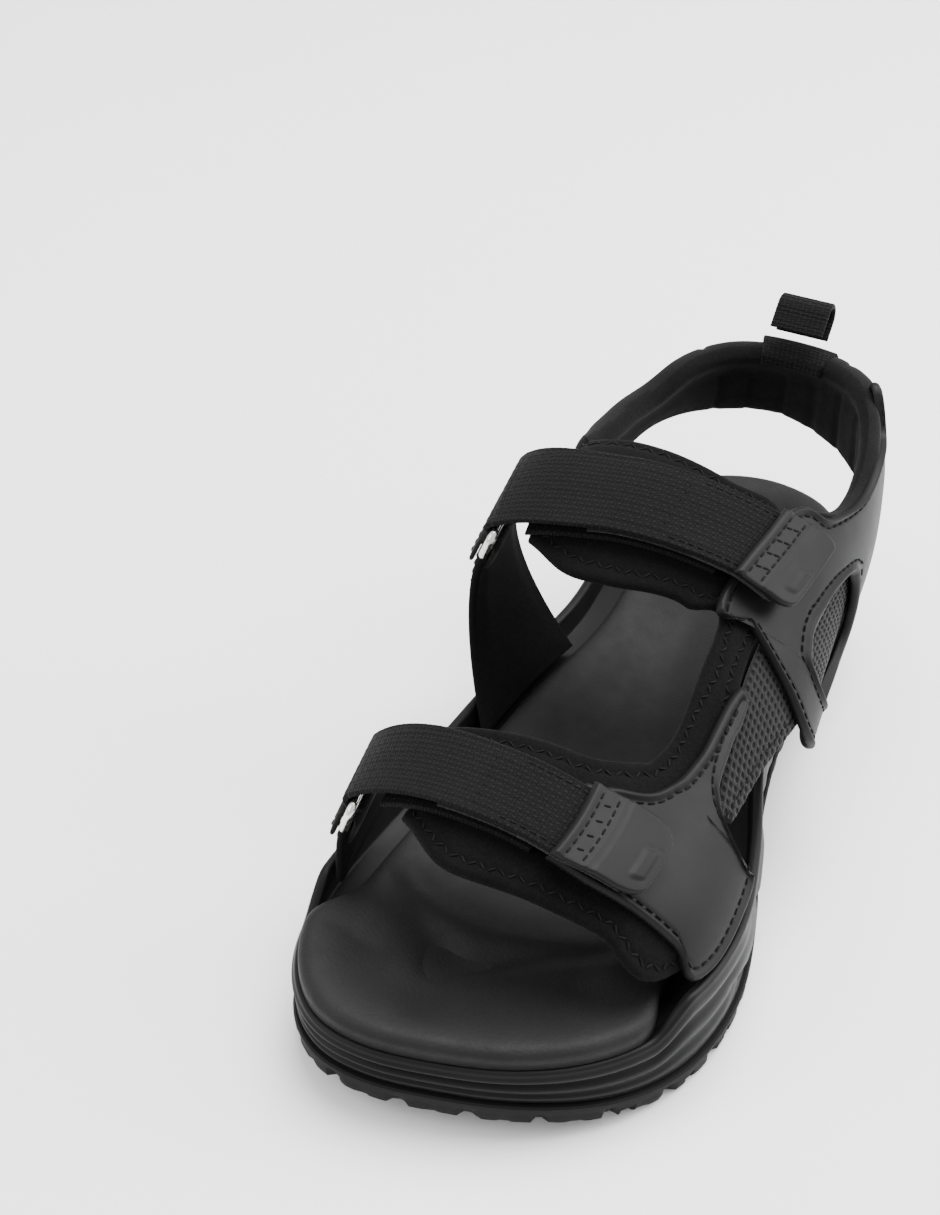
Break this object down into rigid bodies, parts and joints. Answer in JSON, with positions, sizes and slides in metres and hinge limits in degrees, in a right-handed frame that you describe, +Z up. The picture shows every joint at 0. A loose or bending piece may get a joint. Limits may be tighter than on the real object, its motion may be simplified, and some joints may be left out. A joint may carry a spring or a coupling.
{
  "type": "strappy sport sandal",
  "caption": "Left sport sandal with a thick lugged sole, padded liner, moulded side overlays, wire rings, hook-and-loop straps, padded heel collar and a heel pull loop.",
  "frame": {"origin": "on the ground, on the flat middle lug of the outsole", "axes": "+Z up, -Y towards the toe, +X towards the outer side of the left foot"},
  "size_m": [0.1154, 0.274, 0.1105],
  "materials": {
    "tread_rubber": "matte",
    "sole_foam": "satin",
    "footbed_foam": "pebbled matte",
    "overlay": "matte",
    "liner_fabric": "knit",
    "spacer_mesh": "open mesh",
    "webbing": "woven",
    "hook_and_loop": "fuzzy",
    "ring_wire": "polished"
  },
  "bodies": {
    "sandal": {"outsole": "tread_rubber", "midsole": "sole_foam", "footbed": "footbed_foam", "vamp_liner": "liner_fabric", "side_mesh": "spacer_mesh", "front_overlay": "overlay", "rear_overlay": "overlay", "rear_mesh": "spacer_mesh", "collar_lining": "liner_fabric", "collar_foam": "liner_fabric", "heel_patch": "liner_fabric", "collar_arm": "liner_fabric", "medial_front_tab": "liner_fabric", "medial_instep_panel": "liner_fabric", "front_keeper": "webbing", "front_lower_strap": "webbing", "front_loop_patch": "hook_and_loop", "instep_keeper": "webbing", "instep_lower_strap": "webbing", "instep_loop_patch": "hook_and_loop"},
    "front_link": {"front_ring": "ring_wire"},
    "front_flap": {"front_upper_strap": "webbing", "front_hook_patch": "hook_and_loop", "front_tab": "overlay"},
    "instep_link": {"instep_ring": "ring_wire"},
    "instep_flap": {"instep_upper_strap": "webbing", "instep_hook_patch": "hook_and_loop", "instep_tab": "overlay"},
    "heel_loop": {"pull_loop": "webbing"}
  },
  "joints": [
    {"name": "front_ring_swing", "type": "hinge", "parent": "sandal", "child": "front_link", "pos_m": [-0.04394, -0.07262, 0.05189], "axis": [0.1259, -0.9869, -0.1008], "range_deg": [0, 12]},
    {"name": "front_strap_open", "type": "hinge", "parent": "front_link", "child": "front_flap", "pos_m": [-0.04063, -0.07316, 0.06131], "axis": [0.1259, -0.9869, -0.1008], "range_deg": [0, 125]},
    {"name": "instep_ring_swing", "type": "hinge", "parent": "sandal", "child": "instep_link", "pos_m": [-0.04452, 0.01858, 0.08519], "axis": [0.0573, -0.9779, -0.2011], "range_deg": [0, 12]},
    {"name": "instep_strap_open", "type": "hinge", "parent": "instep_link", "child": "instep_flap", "pos_m": [-0.04062, 0.01694, 0.09425], "axis": [0.0573, -0.9779, -0.2011], "range_deg": [0, 125]},
    {"name": "pull_loop_bend", "type": "hinge", "parent": "sandal", "child": "heel_loop", "pos_m": [0.00605, 0.1273, 0.10019], "axis": [1, 0, 0], "range_deg": [-25, 30], "stiffness_Nm_per_rad": 0.01}
  ]
}
